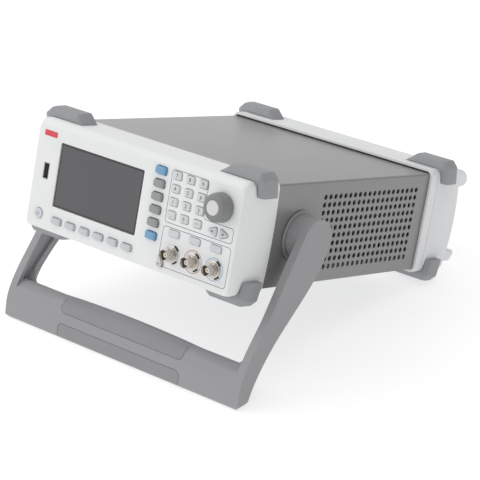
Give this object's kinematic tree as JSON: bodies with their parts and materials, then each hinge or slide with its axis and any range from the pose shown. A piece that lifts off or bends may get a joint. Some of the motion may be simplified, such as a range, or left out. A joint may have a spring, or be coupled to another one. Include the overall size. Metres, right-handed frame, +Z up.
{
  "type": "function generator",
  "caption": "Bench function generator with display, keypad, tuning knob and BNC outputs in a steel case with corner guards, tilted on its swing handle.",
  "frame": {"origin": "on the standing surface, under the centre of the object's bounding box", "axes": "+X to the right seen from the front, +Y from the front panel to the rear, +Z up"},
  "size_m": [0.276, 0.3592, 0.1915],
  "materials": {
    "panel_plastic": "fine spark-eroded texture, near white",
    "rear_plastic": "fine spark-eroded texture, pale grey",
    "cover_paint": "fine textured powder coat, mid grey",
    "steel": "plain zinc-plated sheet",
    "steel_frame": "display module with a thin metal frame",
    "guard_rubber": "soft matt moulded rubber, grey",
    "handle_plastic": "satin moulded plastic, grey",
    "pale_key": "silicone keys, pale grey",
    "grey_key": "silicone keys, mid grey",
    "blue_key": "silicone keys, light blue",
    "white_key": "silicone keys, white",
    "output_key": "translucent silicone keys, pale blue grey",
    "knob_rubber": "matt grey soft-touch knob",
    "window_glass": "dark glossy display window",
    "board": "green circuit board",
    "nickel": "nickel-plated brass connector",
    "black_plastic": "black moulded inlet"
  },
  "bodies": {
    "case": {"front_bezel": "panel_plastic", "display_window": "window_glass", "lcd_module": "steel_frame", "front_panel_board": "board", "usb_host_port": "steel", "bnc_sync": "nickel", "bnc_ch1": "nickel", "bnc_ch2": "nickel", "ground_terminal": "nickel", "case_cover": "cover_paint", "chassis_tray": "steel", "rear_bezel": "rear_plastic", "iec_inlet": "black_plastic", "main_board": "board", "power_supply_board": "board", "front_top_left_guard": "guard_rubber", "front_top_right_guard": "guard_rubber", "front_bottom_left_guard": "guard_rubber", "front_bottom_right_guard": "guard_rubber", "rear_top_left_guard": "guard_rubber", "rear_top_right_guard": "guard_rubber", "rear_bottom_left_guard": "guard_rubber", "rear_bottom_right_guard": "guard_rubber", "handle_pivot_left": "handle_plastic", "handle_pivot_right": "handle_plastic"},
    "softkey_1": {"softkey_1": "pale_key"},
    "softkey_2": {"softkey_2": "pale_key"},
    "softkey_3": {"softkey_3": "pale_key"},
    "softkey_4": {"softkey_4": "pale_key"},
    "softkey_5": {"softkey_5": "pale_key"},
    "softkey_6": {"softkey_6": "pale_key"},
    "function_key_1": {"function_key_1": "blue_key"},
    "function_key_2": {"function_key_2": "grey_key"},
    "function_key_3": {"function_key_3": "grey_key"},
    "function_key_4": {"function_key_4": "grey_key"},
    "function_key_5": {"function_key_5": "grey_key"},
    "function_key_6": {"function_key_6": "blue_key"},
    "key_7": {"key_7": "white_key"},
    "key_8": {"key_8": "white_key"},
    "key_9": {"key_9": "white_key"},
    "key_4": {"key_4": "white_key"},
    "key_5": {"key_5": "white_key"},
    "key_6": {"key_6": "white_key"},
    "key_1": {"key_1": "white_key"},
    "key_2": {"key_2": "white_key"},
    "key_3": {"key_3": "white_key"},
    "key_point": {"key_point": "white_key"},
    "key_0": {"key_0": "white_key"},
    "key_sign": {"key_sign": "white_key"},
    "output_key_sync": {"output_key_sync": "output_key"},
    "output_key_ch1": {"output_key_ch1": "output_key"},
    "output_key_ch2": {"output_key_ch2": "output_key"},
    "power_button": {"power_button": "output_key"},
    "arrow_key_left": {"arrow_key_left": "pale_key"},
    "arrow_key_right": {"arrow_key_right": "pale_key"},
    "knob": {"tuning_knob": "knob_rubber"},
    "rocker": {"mains_rocker_switch": "black_plastic"},
    "handle": {"handle_arm_left": "handle_plastic", "handle_arm_right": "handle_plastic", "handle_crossbar": "handle_plastic"}
  },
  "joints": [
    {"name": "handle_swing", "type": "hinge", "parent": "case", "child": "handle", "pos_m": [0, -0.07241, 0.11552], "axis": [1, 0, 0], "range_deg": [-205, 88]},
    {"name": "mains_rocker", "type": "hinge", "parent": "case", "child": "rocker", "pos_m": [-0.072, 0.13499, 0.052], "axis": [1, 0, 0], "range_deg": [-14, 0]},
    {"name": "knob_turn", "type": "hinge", "parent": "case", "child": "knob", "pos_m": [0.097, -0.15189, 0.16409], "axis": [0, -0.9588, 0.284], "continuous": true},
    {"name": "arrow_key_right_press", "type": "slide", "parent": "case", "child": "arrow_key_right", "axis": [0, 0.9588, -0.284], "range_m": [0, 0.001], "stiffness_N_per_m": 400, "springref_m": -0.0015},
    {"name": "arrow_key_left_press", "type": "slide", "parent": "case", "child": "arrow_key_left", "axis": [0, 0.9588, -0.284], "range_m": [0, 0.001], "stiffness_N_per_m": 400, "springref_m": -0.0015},
    {"name": "power_button_press", "type": "slide", "parent": "case", "child": "power_button", "axis": [0, 0.9588, -0.284], "range_m": [0, 0.001], "stiffness_N_per_m": 400, "springref_m": -0.0015},
    {"name": "output_key_ch2_press", "type": "slide", "parent": "case", "child": "output_key_ch2", "axis": [0, 0.9588, -0.284], "range_m": [0, 0.001], "stiffness_N_per_m": 400, "springref_m": -0.0015},
    {"name": "output_key_ch1_press", "type": "slide", "parent": "case", "child": "output_key_ch1", "axis": [0, 0.9588, -0.284], "range_m": [0, 0.001], "stiffness_N_per_m": 400, "springref_m": -0.0015},
    {"name": "output_key_sync_press", "type": "slide", "parent": "case", "child": "output_key_sync", "axis": [0, 0.9588, -0.284], "range_m": [0, 0.001], "stiffness_N_per_m": 400, "springref_m": -0.0015},
    {"name": "key_sign_press", "type": "slide", "parent": "case", "child": "key_sign", "axis": [0, 0.9588, -0.284], "range_m": [0, 0.001], "stiffness_N_per_m": 400, "springref_m": -0.0015},
    {"name": "key_0_press", "type": "slide", "parent": "case", "child": "key_0", "axis": [0, 0.9588, -0.284], "range_m": [0, 0.001], "stiffness_N_per_m": 400, "springref_m": -0.0015},
    {"name": "key_point_press", "type": "slide", "parent": "case", "child": "key_point", "axis": [0, 0.9588, -0.284], "range_m": [0, 0.001], "stiffness_N_per_m": 400, "springref_m": -0.0015},
    {"name": "key_3_press", "type": "slide", "parent": "case", "child": "key_3", "axis": [0, 0.9588, -0.284], "range_m": [0, 0.001], "stiffness_N_per_m": 400, "springref_m": -0.0015},
    {"name": "key_2_press", "type": "slide", "parent": "case", "child": "key_2", "axis": [0, 0.9588, -0.284], "range_m": [0, 0.001], "stiffness_N_per_m": 400, "springref_m": -0.0015},
    {"name": "key_1_press", "type": "slide", "parent": "case", "child": "key_1", "axis": [0, 0.9588, -0.284], "range_m": [0, 0.001], "stiffness_N_per_m": 400, "springref_m": -0.0015},
    {"name": "key_6_press", "type": "slide", "parent": "case", "child": "key_6", "axis": [0, 0.9588, -0.284], "range_m": [0, 0.001], "stiffness_N_per_m": 400, "springref_m": -0.0015},
    {"name": "key_5_press", "type": "slide", "parent": "case", "child": "key_5", "axis": [0, 0.9588, -0.284], "range_m": [0, 0.001], "stiffness_N_per_m": 400, "springref_m": -0.0015},
    {"name": "key_4_press", "type": "slide", "parent": "case", "child": "key_4", "axis": [0, 0.9588, -0.284], "range_m": [0, 0.001], "stiffness_N_per_m": 400, "springref_m": -0.0015},
    {"name": "key_9_press", "type": "slide", "parent": "case", "child": "key_9", "axis": [0, 0.9588, -0.284], "range_m": [0, 0.001], "stiffness_N_per_m": 400, "springref_m": -0.0015},
    {"name": "key_8_press", "type": "slide", "parent": "case", "child": "key_8", "axis": [0, 0.9588, -0.284], "range_m": [0, 0.001], "stiffness_N_per_m": 400, "springref_m": -0.0015},
    {"name": "key_7_press", "type": "slide", "parent": "case", "child": "key_7", "axis": [0, 0.9588, -0.284], "range_m": [0, 0.001], "stiffness_N_per_m": 400, "springref_m": -0.0015},
    {"name": "function_key_6_press", "type": "slide", "parent": "case", "child": "function_key_6", "axis": [0, 0.9588, -0.284], "range_m": [0, 0.001], "stiffness_N_per_m": 400, "springref_m": -0.0015},
    {"name": "function_key_5_press", "type": "slide", "parent": "case", "child": "function_key_5", "axis": [0, 0.9588, -0.284], "range_m": [0, 0.001], "stiffness_N_per_m": 400, "springref_m": -0.0015},
    {"name": "function_key_4_press", "type": "slide", "parent": "case", "child": "function_key_4", "axis": [0, 0.9588, -0.284], "range_m": [0, 0.001], "stiffness_N_per_m": 400, "springref_m": -0.0015},
    {"name": "function_key_3_press", "type": "slide", "parent": "case", "child": "function_key_3", "axis": [0, 0.9588, -0.284], "range_m": [0, 0.001], "stiffness_N_per_m": 400, "springref_m": -0.0015},
    {"name": "function_key_2_press", "type": "slide", "parent": "case", "child": "function_key_2", "axis": [0, 0.9588, -0.284], "range_m": [0, 0.001], "stiffness_N_per_m": 400, "springref_m": -0.0015},
    {"name": "function_key_1_press", "type": "slide", "parent": "case", "child": "function_key_1", "axis": [0, 0.9588, -0.284], "range_m": [0, 0.001], "stiffness_N_per_m": 400, "springref_m": -0.0015},
    {"name": "softkey_6_press", "type": "slide", "parent": "case", "child": "softkey_6", "axis": [0, 0.9588, -0.284], "range_m": [0, 0.001], "stiffness_N_per_m": 400, "springref_m": -0.0015},
    {"name": "softkey_5_press", "type": "slide", "parent": "case", "child": "softkey_5", "axis": [0, 0.9588, -0.284], "range_m": [0, 0.001], "stiffness_N_per_m": 400, "springref_m": -0.0015},
    {"name": "softkey_4_press", "type": "slide", "parent": "case", "child": "softkey_4", "axis": [0, 0.9588, -0.284], "range_m": [0, 0.001], "stiffness_N_per_m": 400, "springref_m": -0.0015},
    {"name": "softkey_3_press", "type": "slide", "parent": "case", "child": "softkey_3", "axis": [0, 0.9588, -0.284], "range_m": [0, 0.001], "stiffness_N_per_m": 400, "springref_m": -0.0015},
    {"name": "softkey_2_press", "type": "slide", "parent": "case", "child": "softkey_2", "axis": [0, 0.9588, -0.284], "range_m": [0, 0.001], "stiffness_N_per_m": 400, "springref_m": -0.0015},
    {"name": "softkey_1_press", "type": "slide", "parent": "case", "child": "softkey_1", "axis": [0, 0.9588, -0.284], "range_m": [0, 0.001], "stiffness_N_per_m": 400, "springref_m": -0.0015}
  ]
}
